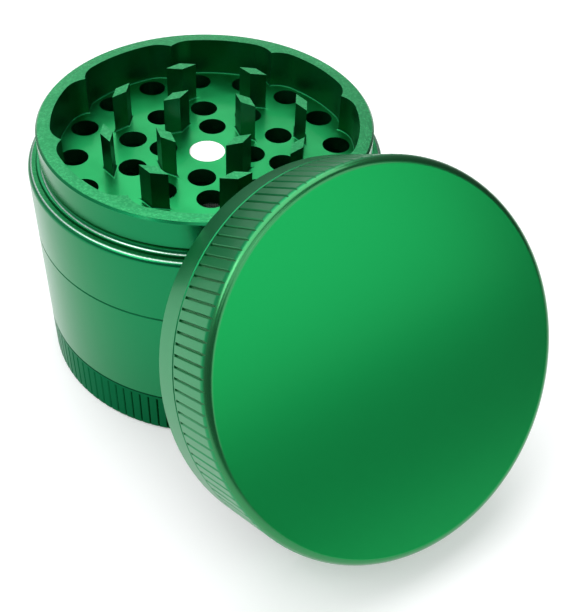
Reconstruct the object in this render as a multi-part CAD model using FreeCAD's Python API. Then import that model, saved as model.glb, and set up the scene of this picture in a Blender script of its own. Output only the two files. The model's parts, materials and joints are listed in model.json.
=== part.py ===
import FreeCAD, Part
import math
import os

# Round aluminium herb grinder: a catcher dish, a sieve section and a toothed chamber screwed
# together on one upright axis, with the lid off and leaning against the chamber's collar.
# Millimetres. The origin is the middle of the catcher's underside, and +Z is up.

# Outside of the stack
outer_radius = 31.5
base_height = 8.75
sieve_height = 19.85
chamber_height = 12.8
seam_gap = 0.1
edge_break = 0.15
foot_chamfer = 0.4

# Threads: each spigot carries a helical ridge that runs under a like ridge in the bore
spigot_inset = 3.2
spigot_wall = 2.0
spigot_length = 3.4
spigot_end_gap = 0.2
spigot_lead = 0.3
thread_pitch = 1.5
thread_turns = 1.0
thread_height = 0.6
thread_root_width = 0.7
thread_crest_width = 0.5
thread_clearance = 0.2
thread_start = 0.45
thread_embed = 0.3

# Catcher dish
dish_floor = 2.6
dish_corner = 2.0

# Screen and its seat in the sieve section
sieve_wall = 2.9
seat_lip_width = 3.2
seat_lip_height = 1.5
bezel_clearance = 0.2
bezel_width = 2.4
bezel_sheet = 0.3
mesh_thickness = 0.3
mesh_edge_gap = 0.05
clamp_ring_height = 1.0
clamp_ring_width = 2.2
clamp_groove_depth = 0.4
clamp_clearance = 0.15

# Chamber: collar, pocket, floor, holes and teeth
ledge_width = 2.2
collar_height = 6.7
rim_chamfer = 0.35
ledge_round = 0.9
relief_radius = 0.9
relief_depth = 0.5
relief_dip = 0.1
rim_width = 2.5
pocket_depth = 7.2
floor_thickness = 2.8
floor_fillet = 0.3
lobe_count = 8
lobe_corner = 5.0
cusp_depth = 1.55
pattern_turn = 15.0
hole_radius = 2.5
inner_hole_row = 7.9
inner_hole_count = 4
middle_hole_row = 13.9
middle_hole_count = 10
middle_hole_turn = 19.9
outer_hole_inset = 3.3
outer_hole_count = 16
tooth_half_length = 2.8
tooth_half_width = 1.07
outer_tooth_inset = 9.2
inner_tooth_row = 8.8
inner_tooth_count = 4
cut_overrun = 1.0

# Magnets
magnet_radius = 3.175
magnet_thickness = 1.6
magnet_fit = 0.05

# Fine grooves round the lid and the catcher
groove_count = 116
groove_width = 0.45
groove_depth = 0.28
base_groove_margin = 0.6
lid_groove_margin = 0.5

# Lid, in its own frame: its mouth is at height 0 and its axis is the local Z
lid_height = 16.9
lid_edge_round = 1.4
lid_plate = 5.0
mouth_chamfer = 0.3
mouth_clearance = 0.3
step_line_height = 5.7
step_line_width = 0.45
step_line_depth = 0.3
glide_ring_height = 1.0
glide_ring_width = 2.2
glide_groove_depth = 0.4
glide_clearance = 0.1
lid_boss_wall = 2.3
lid_boss_tip = 0.4
lid_boss_corner = 1.0
lid_tooth_tip = 1.5
lid_tooth_root = 0.3
lid_row_step = 5.0
lid_row_count = 8

# How the lid leans: how far under the rim it meets the collar, the way its face looks, the side
# it stands on, and its clearances from the collar and from the ground
lean_drop = 0.9
lid_facing = -61.36
lid_bearing = -59.53
lean_gap = 0.35
ground_gap = 0.05

V = FreeCAD.Vector
AXIS = V(0, 0, 1)

# Heights up the stack
sieve_z = base_height + seam_gap
sieve_top = sieve_z + sieve_height
chamber_z = sieve_top + seam_gap
ledge_z = chamber_z + chamber_height
rim_z = ledge_z + collar_height
floor_z = rim_z - pocket_depth
floor_under_z = floor_z - floor_thickness

# Sizes that follow from the fits
spigot_radius = outer_radius - spigot_inset
spigot_inner = spigot_radius - spigot_wall
bore_radius = spigot_radius + thread_height + thread_clearance
bore_depth = spigot_length - seam_gap + spigot_end_gap
well_radius = outer_radius - sieve_wall
seat_lip_radius = well_radius - seat_lip_width
seat_z = sieve_z + seat_lip_height
bezel_height = 2 * bezel_sheet + mesh_thickness
bezel_radius = well_radius - bezel_clearance
clamp_z = seat_z + bezel_height + clamp_clearance
clamp_radius = well_radius + clamp_groove_depth - clamp_clearance
collar_radius = outer_radius - ledge_width
pocket_radius = collar_radius - rim_width
cusp_radius = pocket_radius - cusp_depth
outer_hole_row = pocket_radius - outer_hole_inset
outer_tooth_row = pocket_radius - outer_tooth_inset
magnet_seat = magnet_radius + magnet_fit
mouth_radius = collar_radius + mouth_clearance
glide_z = collar_height + glide_clearance
glide_radius = mouth_radius + glide_groove_depth - glide_clearance
glide_inner = glide_radius - glide_ring_width
shoulder_z = glide_z + glide_ring_height + glide_clearance
plate_z = lid_height - lid_plate
lid_boss_radius = magnet_seat + lid_boss_wall
lid_inner_row = (inner_tooth_row + outer_tooth_row) / 2
lid_outer_row = outer_tooth_row + lid_row_step


def polar(radius, degrees, z=0.0):
    turn = math.radians(degrees)
    return V(radius * math.cos(turn), radius * math.sin(turn), z)


# Solid of revolution from corners (radius, height) or (radius, height, rounding)
def turned(corners):
    points = [V(corner[0], 0, corner[1]) for corner in corners]
    joins = []
    for i, corner in enumerate(corners):
        here = points[i]
        if len(corner) == 2:
            joins.append((here, None, here))
            continue
        back = (points[i - 1] - here).normalize()
        ahead = (points[(i + 1) % len(points)] - here).normalize()
        half = back.getAngle(ahead) / 2
        middle_way = (back + ahead).normalize()
        rounding = corner[2]
        reach = rounding / math.tan(half)
        middle = here + middle_way * (rounding / math.sin(half) - rounding)
        joins.append((here + back * reach, middle, here + ahead * reach))
    edges = []
    for i, (first, middle, last) in enumerate(joins):
        if middle is not None:
            edges.append(Part.Arc(first, middle, last).toShape())
        following = joins[(i + 1) % len(joins)][0]
        edges.append(Part.makeLine(last, following))
    return Part.Face(Part.Wire(edges)).revolve(V(0, 0, 0), AXIS, 360)


def ring(inner, outer, z, height):
    return turned([(inner, z), (outer, z), (outer, z + height), (inner, z + height)])


def disc(radius, z, height):
    return Part.makeCylinder(radius, height, V(0, 0, z))


# Helical ridge on a wall at this radius, standing outwards (1) or inwards (-1)
def thread_ridge(wall_radius, outwards, z):
    root = thread_root_width / 2
    crest = thread_crest_width / 2
    inside = wall_radius - outwards * thread_embed
    tip = wall_radius + outwards * thread_height
    corners = [V(inside, 0, -root), V(wall_radius, 0, -root), V(tip, 0, -crest),
               V(tip, 0, crest), V(wall_radius, 0, root), V(inside, 0, root)]
    profile = Part.makePolygon(corners + corners[:1])
    helix = Part.makeHelix(thread_pitch, thread_pitch * thread_turns, wall_radius)
    ridge = Part.Wire(helix.Edges).makePipeShell([profile], True, True)
    ridge.translate(V(0, 0, z))
    return ridge


def spigot_thread(shoulder_height):
    start = shoulder_height - spigot_length + thread_start
    return thread_ridge(spigot_radius, 1, start)


def bore_thread(shoulder_height):
    start = shoulder_height - spigot_length + thread_start + thread_pitch / 2
    return thread_ridge(bore_radius, -1, start)


# Closed rhombus with its long diagonal along the row
def tooth_outline(row, degrees, z):
    middle = polar(row, degrees, z)
    along = polar(tooth_half_length, degrees + 90)
    across = polar(tooth_half_width, degrees)
    corners = [middle + along, middle - across, middle - along, middle + across]
    return Part.makePolygon(corners + corners[:1])


def row_angles(count, first):
    return [first + 360 / count * i for i in range(count)]


# Upright V grooves all round a cylinder of the outer radius
def groove_cutters(z, height):
    outside = outer_radius + groove_depth
    bottom = V(outer_radius - groove_depth, 0, z)
    corners = [bottom, V(outside, groove_width, z), V(outside, -groove_width, z)]
    cutter = Part.Face(Part.makePolygon(corners + corners[:1])).extrude(V(0, 0, height))
    cutters = []
    for degrees in row_angles(groove_count, 0):
        turned_cutter = cutter.copy()
        turned_cutter.rotate(V(0, 0, 0), AXIS, degrees)
        cutters.append(turned_cutter)
    return Part.makeCompound(cutters)


def make_base():
    bore_floor = base_height - bore_depth
    corner = min(dish_corner, bore_floor - dish_floor - edge_break)
    body = turned([
        (0, 0),
        (outer_radius - foot_chamfer, 0),
        (outer_radius, foot_chamfer),
        (outer_radius, base_height - edge_break),
        (outer_radius - edge_break, base_height),
        (bore_radius + edge_break, base_height),
        (bore_radius, base_height - edge_break),
        (bore_radius, bore_floor),
        (spigot_inner, bore_floor),
        (spigot_inner, dish_floor, corner),
        (0, dish_floor),
    ])
    body = body.cut(groove_cutters(-cut_overrun, base_height - base_groove_margin + cut_overrun))
    return body.fuse(bore_thread(sieve_z))


# Outline of a spigot below a shoulder, from its inner foot up to the section's outer wall
def spigot_corners(shoulder_height):
    foot = shoulder_height - spigot_length
    return [
        (spigot_inner, foot),
        (spigot_radius - spigot_lead, foot),
        (spigot_radius, foot + spigot_lead),
        (spigot_radius, shoulder_height),
        (outer_radius - edge_break, shoulder_height),
        (outer_radius, shoulder_height + edge_break),
    ]


def make_sieve():
    groove_radius = well_radius + clamp_groove_depth
    groove_low = clamp_z - clamp_clearance
    groove_high = clamp_z + clamp_ring_height + clamp_clearance
    lip_under = sieve_z - (spigot_inner - seat_lip_radius)
    body = turned(spigot_corners(sieve_z) + [
        (outer_radius, sieve_top - edge_break),
        (outer_radius - edge_break, sieve_top),
        (bore_radius + edge_break, sieve_top),
        (bore_radius, sieve_top - edge_break),
        (bore_radius, sieve_top - bore_depth),
        (well_radius, sieve_top - bore_depth),
        (well_radius, groove_high),
        (groove_radius, groove_high),
        (groove_radius, groove_low),
        (well_radius, groove_low),
        (well_radius, seat_z),
        (seat_lip_radius, seat_z),
        (seat_lip_radius, sieve_z),
        (spigot_inner, lip_under),
    ])
    return body.fuse(spigot_thread(sieve_z)).fuse(bore_thread(chamber_z))


def make_bezel():
    inner = bezel_radius - bezel_width
    slot = bezel_radius - bezel_sheet
    return turned([
        (inner, seat_z),
        (bezel_radius, seat_z),
        (bezel_radius, seat_z + bezel_height),
        (inner, seat_z + bezel_height),
        (inner, seat_z + bezel_height - bezel_sheet),
        (slot, seat_z + bezel_height - bezel_sheet),
        (slot, seat_z + bezel_sheet),
        (inner, seat_z + bezel_sheet),
    ])


def make_mesh():
    return disc(bezel_radius - bezel_sheet - mesh_edge_gap, seat_z + bezel_sheet, mesh_thickness)


def make_clamp_ring():
    return ring(clamp_radius - clamp_ring_width, clamp_radius, clamp_z, clamp_ring_height)


# Edge of the pocket: one arc per lobe, with rounded ends that meet in cusps
def pocket_outline(z):
    centre_row = pocket_radius - lobe_corner
    spread = (cusp_radius ** 2 + centre_row ** 2 - lobe_corner ** 2) / (2 * cusp_radius * centre_row)
    end_turn = math.degrees(math.acos(spread))
    lobe_turn = 360 / lobe_count
    edges = []
    for start in row_angles(lobe_count, pattern_turn):
        finish = start + lobe_turn
        first = polar(cusp_radius, start, z)
        rise = polar(pocket_radius, start + end_turn, z)
        crown = polar(pocket_radius, start + lobe_turn / 2, z)
        fall = polar(pocket_radius, finish - end_turn, z)
        last = polar(cusp_radius, finish, z)
        for left, right, turn in ((first, rise, start + end_turn), (fall, last, finish - end_turn)):
            centre = polar(centre_row, turn, z)
            outwards = ((left + right) * 0.5 - centre).normalize()
            edges.append(Part.Arc(left, centre + outwards * lobe_corner, right).toShape())
        edges.insert(-1, Part.Arc(rise, crown, fall).toShape())
    return Part.Wire(edges)


def edges_at(shape, z):
    return [edge for edge in shape.Edges if math.isclose(edge.CenterOfMass.z, z)]


def make_chamber():
    body = turned(spigot_corners(chamber_z) + [
        (outer_radius, ledge_z, ledge_round),
        (collar_radius, ledge_z),
        (collar_radius, rim_z - rim_chamfer),
        (collar_radius - rim_chamfer, rim_z),
        (0, rim_z),
        (0, floor_under_z),
        (spigot_inner, floor_under_z),
    ])
    relief_row = collar_radius - relief_depth + relief_radius
    relief_z = ledge_z + relief_radius - relief_dip
    body = body.cut(Part.makeTorus(relief_row, relief_radius, V(0, 0, relief_z)))

    # The pocket is milled around its teeth, with a small fillet where walls and teeth meet the floor
    inner_turn = pattern_turn + 180 / lobe_count
    rows = ((outer_tooth_row, lobe_count, pattern_turn), (inner_tooth_row, inner_tooth_count, inner_turn))
    milling = V(0, 0, pocket_depth + cut_overrun)
    teeth = []
    for row, count, first in rows:
        for degrees in row_angles(count, first):
            teeth.append(Part.Face(tooth_outline(row, degrees, floor_z)).extrude(milling))
    pocket = Part.Face(pocket_outline(floor_z)).extrude(milling)
    pocket = pocket.makeFillet(floor_fillet, edges_at(pocket, floor_z))
    pocket = pocket.cut(Part.makeCompound(teeth))
    tooth_feet = [edge for edge in edges_at(pocket, floor_z) if isinstance(edge.Curve, Part.Line)]
    body = body.cut(pocket.makeFillet(floor_fillet, tooth_feet))

    hole_rows = (
        (inner_hole_row, inner_hole_count, inner_turn + 180 / inner_tooth_count),
        (middle_hole_row, middle_hole_count, middle_hole_turn),
        (outer_hole_row, outer_hole_count, pattern_turn + 180 / outer_hole_count),
    )
    seat_depth = magnet_thickness + magnet_fit
    cutters = [disc(magnet_seat, floor_z - seat_depth, seat_depth + cut_overrun)]
    hole_length = floor_thickness + 2 * cut_overrun
    for row, count, first in hole_rows:
        for degrees in row_angles(count, first):
            middle = polar(row, degrees, floor_under_z - cut_overrun)
            cutters.append(Part.makeCylinder(hole_radius, hole_length, middle))
    body = body.cut(Part.makeCompound(cutters))
    return body.fuse(spigot_thread(chamber_z))


def make_lid():
    pocket_top = lid_boss_tip + magnet_thickness + magnet_fit
    body = turned([
        (mouth_radius + edge_break, 0),
        (outer_radius - mouth_chamfer, 0),
        (outer_radius, mouth_chamfer),
        (outer_radius, step_line_height - step_line_width / 2),
        (outer_radius - step_line_depth, step_line_height),
        (outer_radius, step_line_height + step_line_width / 2),
        (outer_radius, lid_height, lid_edge_round),
        (0, lid_height),
        (0, pocket_top),
        (magnet_seat, pocket_top),
        (magnet_seat, lid_boss_tip),
        (lid_boss_radius, lid_boss_tip),
        (lid_boss_radius, plate_z, lid_boss_corner),
        (glide_inner, plate_z),
        (glide_inner, shoulder_z),
        (glide_radius + glide_clearance, shoulder_z),
        (glide_radius + glide_clearance, glide_z - glide_clearance),
        (mouth_radius, glide_z - glide_clearance),
        (mouth_radius, edge_break),
    ])
    groove_z = step_line_height + lid_groove_margin
    body = body.cut(groove_cutters(groove_z, lid_height - groove_z + cut_overrun))
    # One outer tooth points to the top of the leaning lid, where it meets the collar
    top_turn = 180
    for row, first in ((lid_outer_row, top_turn), (lid_inner_row, top_turn + 180 / lid_row_count)):
        for degrees in row_angles(lid_row_count, first):
            tooth = Part.Face(tooth_outline(row, degrees, lid_tooth_tip))
            body = body.fuse(tooth.extrude(V(0, 0, plate_z - lid_tooth_tip + lid_tooth_root)))
    return body


def make_glide_ring():
    return ring(glide_inner, glide_radius, glide_z, glide_ring_height)


# The lid stands on the edge of its mouth, and its top tooth all but touches the collar just under
# the rim. The mouth's own edge stays clear of the rim to each side of that tooth.
def lid_placement():
    tooth_reach = lid_outer_row + tooth_half_width
    reach_up = outer_radius + tooth_reach
    reach_in = lid_tooth_tip - mouth_chamfer
    lean_height = rim_z - lean_drop - ground_gap
    slope = math.atan2(reach_in, reach_up) + math.acos(lean_height / math.hypot(reach_up, reach_in))
    height = ground_gap + math.cos(slope) * outer_radius - math.sin(slope) * mouth_chamfer
    clear_radius = collar_radius + lean_gap
    by_tooth = clear_radius + math.sin(slope) * tooth_reach - math.cos(slope) * lid_tooth_tip
    edge_up = (rim_z - height) / math.cos(slope)
    edge_aside = math.sqrt(mouth_radius ** 2 - edge_up ** 2)
    by_edge = math.sin(slope) * edge_up + math.sqrt(clear_radius ** 2 - edge_aside ** 2)
    middle = polar(max(by_tooth, by_edge), lid_bearing, height)
    face_turn = FreeCAD.Rotation(AXIS, lid_facing)
    lean_turn = FreeCAD.Rotation(V(0, 1, 0), 90 - math.degrees(slope))
    return FreeCAD.Placement(middle, face_turn.multiply(lean_turn))


upright = {
    "base_catcher": make_base(),
    "sieve_chamber": make_sieve(),
    "screen_bezel": make_bezel(),
    "screen_mesh": make_mesh(),
    "screen_clamp_ring": make_clamp_ring(),
    "grinding_chamber": make_chamber(),
    "chamber_magnet": disc(magnet_radius, floor_z - magnet_thickness, magnet_thickness),
}
leaning = {
    "lid_cap": make_lid(),
    "lid_glide_ring": make_glide_ring(),
    "lid_magnet": disc(magnet_radius, lid_boss_tip, magnet_thickness),
}

os.makedirs("parts", exist_ok=True)
for shape in leaning.values():
    shape.Placement = lid_placement().multiply(shape.Placement)
for name, shape in {**upright, **leaning}.items():
    shape.exportStep("parts/" + name + ".step")
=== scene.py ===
import bpy
import json
import math
from mathutils import Matrix, Vector


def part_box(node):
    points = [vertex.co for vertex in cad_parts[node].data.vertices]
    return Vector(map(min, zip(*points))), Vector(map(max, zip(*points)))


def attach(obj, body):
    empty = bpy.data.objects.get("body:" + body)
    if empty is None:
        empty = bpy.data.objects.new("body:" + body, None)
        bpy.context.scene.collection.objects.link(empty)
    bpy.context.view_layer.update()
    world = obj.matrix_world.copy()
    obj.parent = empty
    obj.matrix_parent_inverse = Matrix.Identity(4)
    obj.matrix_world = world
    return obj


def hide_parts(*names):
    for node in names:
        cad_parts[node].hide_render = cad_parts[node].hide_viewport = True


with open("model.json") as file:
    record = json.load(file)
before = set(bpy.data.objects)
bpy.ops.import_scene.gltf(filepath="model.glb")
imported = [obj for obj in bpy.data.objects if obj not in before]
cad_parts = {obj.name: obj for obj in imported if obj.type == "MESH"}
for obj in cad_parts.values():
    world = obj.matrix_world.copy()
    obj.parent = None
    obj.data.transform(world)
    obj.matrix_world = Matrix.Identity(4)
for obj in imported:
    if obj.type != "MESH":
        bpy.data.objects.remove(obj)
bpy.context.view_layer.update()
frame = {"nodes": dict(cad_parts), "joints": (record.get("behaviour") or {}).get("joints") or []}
nodes = frame["nodes"]
print("frame loaded:", len(nodes), "nodes")

# the lid leans, so its axis and a point on it come from its turning joint
lidJoint = next(joint for joint in frame["joints"] if joint["name"] == "lid_turn")
lidAxis = Vector(lidJoint["axis"]).normalized()
lidMiddle = Vector(lidJoint["pos_m"])
lidTurn = lidAxis.to_track_quat("Z", "Y").to_matrix().to_4x4()

# the stack stands upright on the origin
stackFoot = Vector((0, 0, 0))
upright = Matrix.Identity(4)


def deselect():
    if bpy.context.object and bpy.context.object.mode != "OBJECT":
        bpy.ops.object.mode_set(mode="OBJECT")
    bpy.ops.object.select_all(action="DESELECT")


def addNode(tree, kind, place, **values):
    node = tree.nodes.new(kind)
    node.location = place
    for key, value in values.items():
        if key in node.inputs:
            node.inputs[key].default_value = value
        else:
            setattr(node, key, value)
    return node


def join(tree, source, target):
    tree.links.new(source, target)


def newMaterial(name):
    material = bpy.data.materials.new(name)
    material.use_nodes = True
    tree = material.node_tree
    shader = tree.nodes["Principled BSDF"]
    return material, tree, shader


# each value is a number or the output of another node
def calculate(tree, place, operation, *values):
    node = addNode(tree, "ShaderNodeMath", place, operation=operation)
    for socket, value in zip(node.inputs, values):
        if isinstance(value, (int, float)):
            socket.default_value = value
        else:
            join(tree, value, socket)
    return node.outputs[0]


def remap(tree, place, value, old, new=(0.0, 1.0)):
    node = addNode(tree, "ShaderNodeMapRange", place)
    for key, number in zip(("From Min", "From Max", "To Min", "To Max"), (*old, *new)):
        node.inputs[key].default_value = number
    join(tree, value, node.inputs["Value"])
    return node.outputs["Result"]


# each colour is a plain one or the output of another node
def mixColours(tree, place, first, second, share):
    node = addNode(tree, "ShaderNodeMix", place, data_type="RGBA")
    join(tree, share, node.inputs["Factor"])
    for key, colour in (("A", first), ("B", second)):
        if isinstance(colour, tuple):
            node.inputs[key].default_value = (*colour, 1)
        else:
            join(tree, colour, node.inputs[key])
    return node.outputs["Result"]


def addNoise(tree, place, vector, scale, detail):
    noise = addNode(tree, "ShaderNodeTexNoise", place, Scale=scale, Detail=detail)
    join(tree, vector, noise.inputs["Vector"])
    return noise.outputs["Fac"]


def splitVector(tree, place, vector):
    parts = addNode(tree, "ShaderNodeSeparateXYZ", place)
    join(tree, vector, parts.inputs[0])
    return parts.outputs


# square root of the sum of two squares
def distance(tree, place, first, second):
    x, y = place
    firstSquare = calculate(tree, (x, y), "MULTIPLY", first, first)
    secondSquare = calculate(tree, (x, y - 160), "MULTIPLY", second, second)
    total = calculate(tree, (x + 160, y), "ADD", firstSquare, secondSquare)
    return calculate(tree, (x + 320, y), "SQRT", total)


# object coordinates, seen from the piece's own turning axis
def axisCoordinates(tree, middle, turn):
    coords = addNode(tree, "ShaderNodeTexCoord", (-1500, 0))
    shifted = addNode(tree, "ShaderNodeVectorMath", (-1320, 0), operation="SUBTRACT")
    shifted.inputs[1].default_value = middle
    join(tree, coords.outputs["Object"], shifted.inputs[0])
    turned = addNode(tree, "ShaderNodeMapping", (-1140, 0), vector_type="VECTOR")
    turned.inputs["Rotation"].default_value = turn.inverted().to_euler()
    join(tree, shifted.outputs[0], turned.inputs["Vector"])
    return turned.outputs["Vector"]


def dress(nodeName, material):
    piece = nodes[nodeName]
    if not piece.data.materials:
        piece.data.materials.append(material)
    for slot in piece.material_slots:
        slot.material = material


# what every dyed piece shares: turning lines, a fine grain and a clear sealed layer over the dye
anodise = {
    "sealRoughness": 0.08,
    "lineScale": 9000.0,          # turning lines per metre of radius or height
    "grainScale": 6000.0,
    "detail": 2.0,
    "lineReach": (0.7, 1.3),      # usual sum of lines and grain
    "lineSpread": 0.003,          # how far they sway the roughness
    "lineBump": 0.00012,
    "lineDepth": 0.0001,
}


# face, rounded edge and side of the lid, told apart by radius, with painted reflection on the edge and
# painted shade on the side; gives back the roughness
def lidZones(tree, shader, piece, radius, satin):
    face, side, fade = piece["faceRadius"], piece["sideRadius"], piece["fade"]
    pastFace = remap(tree, (180, -160), radius, (face, face + fade))
    onSide = remap(tree, (180, -420), radius, (side - fade, side))
    # painted reflection on the rounded edge and painted shade on the side, as darker copies of the face's
    # green
    dyeAndPaintedLight = mixColours(tree, (360, -680), piece["green"], piece["edgeReflectionGreen"], pastFace)
    dyeAndPaintedLight = mixColours(tree, (520, -680), dyeAndPaintedLight, piece["sideShadeGreen"], onSide)
    join(tree, dyeAndPaintedLight, shader.inputs["Base Color"])
    sealIn = remap(tree, (360, -160), pastFace, (0.0, 1.0), (piece["faceSeal"], piece["edgeSeal"]))
    sealOut = remap(tree, (360, -420), onSide, (0.0, 1.0), (piece["edgeSeal"], piece["seal"]))
    join(tree, calculate(tree, (520, -280), "MINIMUM", sealIn, sealOut), shader.inputs["Coat Weight"])
    rougher = calculate(tree, (360, -860), "MULTIPLY", onSide, piece["sideRoughness"] - piece["roughness"])
    return calculate(tree, (360, 60), "ADD", satin, rougher)


# dyed aluminium with turning lines round its axis
def anodisedGreen(name, piece, middle, turn):
    material, tree, shader = newMaterial(name)
    place = axisCoordinates(tree, middle, turn)
    parts = splitVector(tree, (-960, 0), place)
    radius = distance(tree, (-800, 120), parts["X"], parts["Y"])
    lathe = addNode(tree, "ShaderNodeCombineXYZ", (-320, 80))
    join(tree, radius, lathe.inputs["X"])
    join(tree, parts["Z"], lathe.inputs["Y"])
    lines = addNoise(tree, (-140, 160), lathe.outputs[0], anodise["lineScale"], anodise["detail"])
    grain = addNoise(tree, (-140, -120), place, anodise["grainScale"], anodise["detail"])
    mixed = calculate(tree, (20, 160), "ADD", lines, grain)
    rough, spread = piece["roughness"], anodise["lineSpread"]
    satin = remap(tree, (180, 60), mixed, anodise["lineReach"], (rough - spread, rough + spread))
    bump = addNode(tree, "ShaderNodeBump", (360, 320),
                   Strength=anodise["lineBump"], Distance=anodise["lineDepth"])
    join(tree, mixed, bump.inputs["Height"])
    join(tree, bump.outputs[0], shader.inputs["Normal"])
    shader.inputs["Metallic"].default_value = 1.0
    shader.inputs["Coat Roughness"].default_value = anodise["sealRoughness"]
    if "edgeReflectionGreen" in piece:
        satin = lidZones(tree, shader, piece, radius, satin)
    else:
        shader.inputs["Base Color"].default_value = (*piece["green"], 1)
        shader.inputs["Coat Weight"].default_value = piece["seal"]
    if "glance" in piece:
        shader.inputs["Specular Tint"].default_value = (*piece["glance"], 1)
    join(tree, satin, shader.inputs["Roughness"])
    return material


# painted shade: the base's green is darker than the stack's, standing in for the shaded floor it reflects
# near its foot, and its glancing reflections are tinted green
base = {
    "green": (0.0035, 0.112, 0.038),
    "glance": (0.50, 0.75, 0.62),
    "roughness": 0.26,
    "seal": 0.02,
}
dress("base_catcher", anodisedGreen("baseShadedGreen", base, stackFoot, upright))

# the sieve section, the clamp ring and the outside of the chamber
stack = {
    "green": (0.0055, 0.203, 0.068),
    "roughness": 0.26,
    "seal": 0.10,
}
stackGreen = anodisedGreen("stackGreen", stack, stackFoot, upright)
for nodeName in ("sieve_chamber", "screen_clamp_ring"):
    dress(nodeName, stackGreen)

# a thick seal and a painted reflection, a darker redder green, on the rounded edge, between a satin face
# and a rougher side painted in a darker, bluer shade
lid = {
    "green": (0.0075, 0.285, 0.068),
    "edgeReflectionGreen": (0.0170, 0.205, 0.060),
    "sideShadeGreen": (0.0075, 0.245, 0.079),
    "roughness": 0.27,
    "sideRoughness": 0.36,
    "faceSeal": 0.02,
    "edgeSeal": 0.55,
    "seal": 0.10,
    "faceRadius": 0.0301,
    "sideRadius": 0.0314,
    "fade": 0.0002,
}
dress("lid_cap", anodisedGreen("lidGreen", lid, lidMiddle, lidTurn))
print("turned green pieces")

# places are in metres from the chamber's axis, under its rim or over its ledge
chamber = {
    "wallShadeGreen": (0.0060, 0.150, 0.050),     # painted shade and light: walls facing sideways darker than the upward floor between them
    "floorLitGreen": (0.0100, 0.295, 0.084),
    "facedGreen": (0.0095, 0.210, 0.067),    # faced tops, left brighter by the tool; the flecks on them are tool marks with painted glints
    "glintFleckGreen": (0.0290, 0.305, 0.106),
    "paintedHighlight": (0.46, 0.54, 0.51),              # painted highlight, pale grey-green, for the white lines along the ledge's edges
    "wallRoughness": 0.44,
    "floorRoughness": 0.36,
    "ledgeRoughness": 0.55,
    "ledgeDrop": 0.0067,
    "ledgeReach": 0.00003,
    "topReach": (0.00004, 0.00002),          # depths under the rim where a faced top begins
    "pocketRadius": 0.0275,
    "pocketFade": 0.0005,
    "floorFacing": (0.80, 0.99),             # rise of the normal, from wall to floor
    "fleckScale": 2600.0,
    "fleckDetail": 3.0,
    "fleckReach": (0.45, 0.70),
    "fleckBump": (0.02, 0.6),                # off and on the faced tops
    "fleckDepth": 0.00001,
    "patchScale": 160.0,
    "patchDetail": 2.0,
    "patchReach": (0.35, 0.65),
    "patchSpread": (-0.08, 0.08),
    "outerHighlight": (0.03090, -0.00006, 0.00015),     # painted highlight lines on the outer rounding and in the groove at the collar's foot: radius, rise over the ledge, reach
    "grooveHighlight": (0.02918, 0.00006, 0.00013),
    "highlightCore": 0.7,                         # share of the reach that is painted at full strength
    "highlightFlecks": (0.65, 1.0),               # strength of the painted highlight, off and on a fleck
}


# painted highlight lines at the ledge's two edges, by the distance from a ring at each, weaker off the
# flecks
def paintedHighlightLines(tree, radius, height, ledgeHeight, speckle):
    rings = []
    for ringRadius, rise, reach in (chamber["outerHighlight"], chamber["grooveHighlight"]):
        across = calculate(tree, (-760, -1000), "SUBTRACT", radius, ringRadius)
        along = calculate(tree, (-760, -1160), "SUBTRACT", height, ledgeHeight + rise)
        away = distance(tree, (-600, -1000), across, along)
        rings.append(remap(tree, (-120, -1000), away, (reach * chamber["highlightCore"], reach), (1.0, 0.0)))
    highlit = calculate(tree, (40, -1000), "MAXIMUM", *rings)
    flecks = remap(tree, (40, -1160), speckle, (0.0, 1.0), chamber["highlightFlecks"])
    return calculate(tree, (200, -1000), "MULTIPLY", highlit, flecks)
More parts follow.
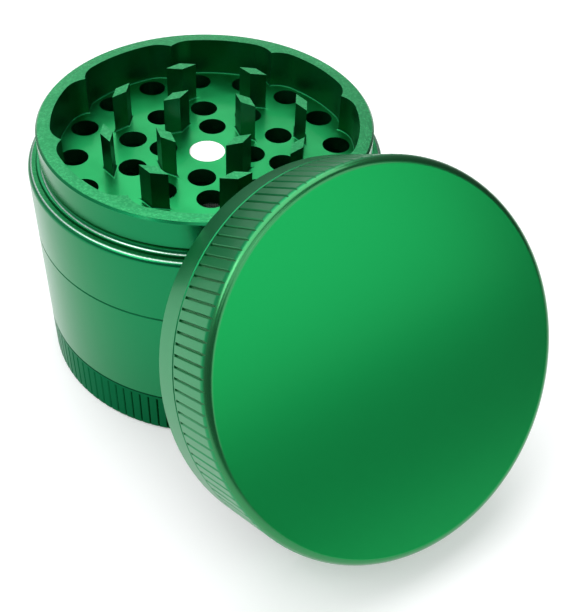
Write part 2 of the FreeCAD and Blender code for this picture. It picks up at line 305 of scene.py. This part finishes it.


# the same dye on the chamber: painted shade on the pocket's walls and painted light on its floor, speckled
# faced tops with painted glints, a rougher milled pocket, patches on both, and painted highlight lines
# along the ledge's two edges
def milledGreen(name, rimHeight):
    material, tree, shader = newMaterial(name)
    coords = addNode(tree, "ShaderNodeTexCoord", (-1500, 0))
    place = coords.outputs["Object"]
    parts = splitVector(tree, (-960, 0), place)
    height = parts["Z"]
    radius = distance(tree, (-800, 120), parts["X"], parts["Y"])
    ledgeHeight = rimHeight - chamber["ledgeDrop"]
    patches = addNoise(tree, (-760, 540), place, chamber["patchScale"], chamber["patchDetail"])
    flecks = addNoise(tree, (-760, 780), place, chamber["fleckScale"], chamber["fleckDetail"])
    speckle = remap(tree, (-440, 300), flecks, chamber["fleckReach"])

    # where a point is: outside or in the pocket, on a faced top or the ledge, on a floor or a wall
    pocketRadius = chamber["pocketRadius"]
    outside = remap(tree, (-760, -660), radius, (pocketRadius, pocketRadius + chamber["pocketFade"]))
    inPocket = calculate(tree, (-600, -660), "SUBTRACT", 1.0, outside)
    atTop = remap(tree, (-760, -300), height, [rimHeight - drop for drop in chamber["topReach"]])
    atLedge = calculate(tree, (-760, -480), "COMPARE", height, ledgeHeight, chamber["ledgeReach"])
    onLedge = calculate(tree, (-600, -480), "MULTIPLY", atLedge, outside)
    faced = calculate(tree, (-440, -380), "MAXIMUM", atTop, onLedge)
    normal = splitVector(tree, (-1320, -300), coords.outputs["Normal"])
    upward = remap(tree, (-1140, -300), normal["Z"], chamber["floorFacing"])

    # painted shade on the pocket's walls and painted light on its floor, by which way the surface faces
    milled = mixColours(tree, (-240, -900), chamber["wallShadeGreen"], chamber["floorLitGreen"], upward)
    dyeAndPaintedLight = mixColours(tree, (-80, -900), stack["green"], milled, inPocket)
    # faced tops, with their tool-mark flecks painted as glints
    top = mixColours(tree, (-80, -600), chamber["facedGreen"], chamber["glintFleckGreen"], speckle)
    dyeAndPaintedLight = mixColours(tree, (80, -600), dyeAndPaintedLight, top, faced)
    # painted highlight lines along the ledge's two edges
    highlit = paintedHighlightLines(tree, radius, height, ledgeHeight, speckle)
    join(tree, mixColours(tree, (360, -600), dyeAndPaintedLight, chamber["paintedHighlight"], highlit), shader.inputs["Base Color"])

    # the pocket is rougher than the turned outside, and it and the faced tops are patchy
    pocketRange = (chamber["wallRoughness"], chamber["floorRoughness"])
    milledRough = remap(tree, (-560, 220), upward, (0.0, 1.0), pocketRange)
    rougher = calculate(tree, (-400, 220), "SUBTRACT", milledRough, stack["roughness"])
    rougher = calculate(tree, (-240, 220), "MULTIPLY", rougher, inPocket)
    rough = calculate(tree, (-80, 220), "ADD", rougher, stack["roughness"])
    cut = calculate(tree, (-240, 660), "MAXIMUM", inPocket, faced)
    patchy = remap(tree, (-240, 500), patches, chamber["patchReach"], chamber["patchSpread"])
    patchy = calculate(tree, (-80, 500), "MULTIPLY", patchy, cut)
    rough = calculate(tree, (80, 300), "ADD", rough, patchy)
    ledgeRough = calculate(tree, (80, 480), "MULTIPLY", onLedge, chamber["ledgeRoughness"])
    rough = calculate(tree, (240, 300), "MAXIMUM", rough, ledgeRough)
    join(tree, rough, shader.inputs["Roughness"])

    tooled = addNode(tree, "ShaderNodeBump", (80, 60), Strength=1.0, Distance=chamber["fleckDepth"])
    rise = remap(tree, (-240, -120), faced, (0.0, 1.0), chamber["fleckBump"])
    join(tree, calculate(tree, (-80, 60), "MULTIPLY", speckle, rise), tooled.inputs["Height"])
    join(tree, tooled.outputs[0], shader.inputs["Normal"])
    shader.inputs["Metallic"].default_value = 1.0
    shader.inputs["Coat Weight"].default_value = stack["seal"]
    shader.inputs["Coat Roughness"].default_value = anodise["sealRoughness"]
    return material


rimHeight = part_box("grinding_chamber")[1][2]
dress("grinding_chamber", milledGreen("chamberGreen", rimHeight))
print("milled chamber")


# one colour, with a roughness that a fine noise sways
def grainyFinish(name, finish):
    material, tree, shader = newMaterial(name)
    coords = addNode(tree, "ShaderNodeTexCoord", (-700, 0))
    grain = addNoise(tree, (-480, 0), coords.outputs["Object"], finish["scale"], finish["detail"])
    rough = remap(tree, (-260, 0), grain, finish["reach"], finish["roughness"])
    join(tree, rough, shader.inputs["Roughness"])
    shader.inputs["Base Color"].default_value = (*finish["colour"], 1)
    shader.inputs["Metallic"].default_value = finish["metallic"]
    if "milkiness" in finish:
        shader.inputs["Subsurface Weight"].default_value = finish["milkiness"]
        shader.inputs["Subsurface Radius"].default_value = finish["milkDepth"]
    return material


# bare stainless with a fine drawn grain
steel = {
    "colour": (0.60, 0.60, 0.58),
    "metallic": 1.0,
    "scale": 9000.0,
    "detail": 2.0,
    "reach": (0.3, 0.7),
    "roughness": (0.22, 0.38),
}
meshSteel = grainyFinish("meshSteel", steel)
dress("screen_bezel", grainyFinish("sheetSteel", steel))
dress("screen_mesh", meshSteel)

# bright plating with small scuffs
nickel = {
    "colour": (0.82, 0.82, 0.80),
    "metallic": 1.0,
    "scale": 600.0,
    "detail": 3.0,
    "reach": (0.35, 0.65),
    "roughness": (0.26, 0.32),
}
magnetNickel = grainyFinish("magnetNickel", nickel)
for nodeName in ("chamber_magnet", "lid_magnet"):
    dress(nodeName, magnetNickel)

# milky slippery plastic
polymer = {
    "colour": (0.80, 0.80, 0.76),
    "metallic": 0.0,
    "scale": 500.0,
    "detail": 3.0,
    "reach": (0.3, 0.7),
    "roughness": (0.42, 0.55),
    "milkiness": 0.15,
    "milkDepth": (0.0006, 0.0006, 0.0005),
}
dress("lid_glide_ring", grainyFinish("ringPolymer", polymer))
print("finishes on the CAD pieces")

# wire screen: two crossing layers of wires, cut to the round inside the bezel's fold
screen = {
    "pitch": 0.0005,
    "wire": 0.00014,
    "sides": 6,
    "edgeGap": 0.0001,
    "layerShare": 0.45,      # of a wire's thickness, from the middle to each layer
    "smoothAngle": 70,
}
low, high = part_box("screen_mesh")
screenRadius = (high[0] - low[0]) / 2 - screen["edgeGap"]
screenHeight = (high[2] + low[2]) / 2
layerRise = screen["wire"] * screen["layerShare"]
count = int(screenRadius / screen["pitch"])
quarter = math.pi / 2
wires = []
for along in ("X", "Y"):
    for i in range(-count, count + 1):
        offset = i * screen["pitch"]
        length = 2 * math.sqrt(screenRadius ** 2 - offset ** 2)
        if along == "X":
            spot = (0, offset, screenHeight + layerRise)
            lie = (0, quarter, 0)
        else:
            spot = (offset, 0, screenHeight - layerRise)
            lie = (quarter, 0, 0)
        deselect()
        bpy.ops.mesh.primitive_cylinder_add(vertices=screen["sides"], radius=screen["wire"] / 2,
                                            depth=length, location=spot, rotation=lie)
        wires.append(bpy.context.object)
deselect()
for wire in wires:
    wire.select_set(True)
bpy.context.view_layer.objects.active = wires[0]
bpy.ops.object.join()
bpy.ops.object.transform_apply(location=True, rotation=True, scale=True)
wireScreen = bpy.context.object
wireScreen.name = "wireScreen"
bpy.ops.object.shade_smooth_by_angle(angle=math.radians(screen["smoothAngle"]))
wireScreen.data.materials.append(meshSteel)
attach(wireScreen, "sieve")
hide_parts("screen_mesh")
print("wire screen:", len(wires), "wires")

# the lift is a glow for camera, glossy and transmission rays alone, so that the floor looks white
floor = {"size": 12.0, "colour": (0.77, 0.77, 0.77), "roughness": 0.6, "lift": 0.30}
deselect()
bpy.ops.mesh.primitive_plane_add(size=floor["size"], location=(0, 0, 0))
table = bpy.context.object
table.name = "table"
tablePaint, tree, shader = newMaterial("tablePaint")
shader.inputs["Base Color"].default_value = (*floor["colour"], 1)
shader.inputs["Roughness"].default_value = floor["roughness"]
path = addNode(tree, "ShaderNodeLightPath", (-700, -300)).outputs
seen = calculate(tree, (-500, -300), "ADD", path["Is Camera Ray"], path["Is Glossy Ray"])
seen = calculate(tree, (-340, -300), "ADD", seen, path["Is Transmission Ray"])
glow = calculate(tree, (-180, -300), "MULTIPLY", seen, floor["lift"])
join(tree, glow, shader.inputs["Emission Strength"])
shader.inputs["Emission Color"].default_value = (1, 1, 1, 1)
table.data.materials.append(tablePaint)

# soft room light, brighter at the left and behind, dimmer at the right and in front
room = {
    "tint": (0.94, 0.98, 1),
    "leftToRight": (0.85, 0.12),     # strengths
    "acrossReach": (-1.0, 1.0),      # X of the direction over which they change
    "frontToBack": (0.45, 1.0),
    "depthReach": (-0.7, 0.3),       # Y, likewise
}
world = bpy.data.worlds.new("room")
bpy.context.scene.world = world
world.use_nodes = True
tree = world.node_tree
background = tree.nodes["Background"]
coords = addNode(tree, "ShaderNodeTexCoord", (-800, 0))
parts = splitVector(tree, (-600, 0), coords.outputs["Generated"])
sideways = remap(tree, (-400, 0), parts["X"], room["acrossReach"], room["leftToRight"])
lengthways = remap(tree, (-400, -260), parts["Y"], room["depthReach"], room["frontToBack"])
strength = calculate(tree, (-200, -100), "MULTIPLY", sideways, lengthways)
join(tree, strength, background.inputs["Strength"])
background.inputs["Color"].default_value = (*room["tint"], 1)

lamps = {
    "topPanel": {"place": (-0.12, 0.15, 0.80), "size": (0.96, 0.7), "power": 4.6},
    "backPanel": {"place": (-0.15, 0.62, 0.60), "size": (0.7, 0.4), "power": 1.2},
    "frontPanel": {"place": (0.38, -0.36, 0.32), "size": (0.44, 0.44), "power": 1.0},
    "leftPanel": {"place": (-0.38, -0.22, 0.62), "size": (0.34, 0.22), "power": 0.9},
    "headPanel": {"place": (0.10, -0.40, 0.66), "size": (0.50, 0.30), "power": 0.7},
}
lampAim = Vector((0, 0, 0.03))
for name, lamp in lamps.items():
    deselect()
    bpy.ops.object.light_add(type="AREA", location=lamp["place"])
    light = bpy.context.object
    light.name = name
    light.data.shape = "RECTANGLE"
    light.data.size, light.data.size_y = lamp["size"]
    light.data.energy = lamp["power"]
    light.rotation_euler = (lampAim - light.location).to_track_quat("-Z", "Y").to_euler()
print("table, room and lamps")

# where the photograph was taken from, with its angles in radians
viewpoint = {
    "place": (0.0, -0.1442597, 0.1426639),
    "pan": 0.1100,
    "tilt": 0.7705,
    "roll": -0.0555,
    "focalPixels": 966.6845,
    "picturePixels": 612,     # the picture's longer side
    "sensor": 36,             # millimetres along that side
    "clip": (0.005, 20),
}
pan, tilt, roll = viewpoint["pan"], viewpoint["tilt"], viewpoint["roll"]
forward = Vector((math.sin(pan) * math.cos(tilt), math.cos(pan) * math.cos(tilt), -math.sin(tilt)))
level = Vector((math.cos(pan), -math.sin(pan), 0))
down = forward.cross(level)
right = math.cos(roll) * level + math.sin(roll) * down
below = math.cos(roll) * down - math.sin(roll) * level
deselect()
bpy.ops.object.camera_add(location=viewpoint["place"])
camera = bpy.context.object
camera.name = "camera"
camera.data.lens = viewpoint["focalPixels"] * viewpoint["sensor"] / viewpoint["picturePixels"]
camera.data.sensor_width = viewpoint["sensor"]
camera.data.clip_start, camera.data.clip_end = viewpoint["clip"]
camera.rotation_mode = "QUATERNION"
camera.rotation_quaternion = Matrix((right, -below, -forward)).transposed().to_quaternion()
bpy.context.scene.camera = camera
bpy.context.scene.view_settings.view_transform = "Standard"
print("camera")
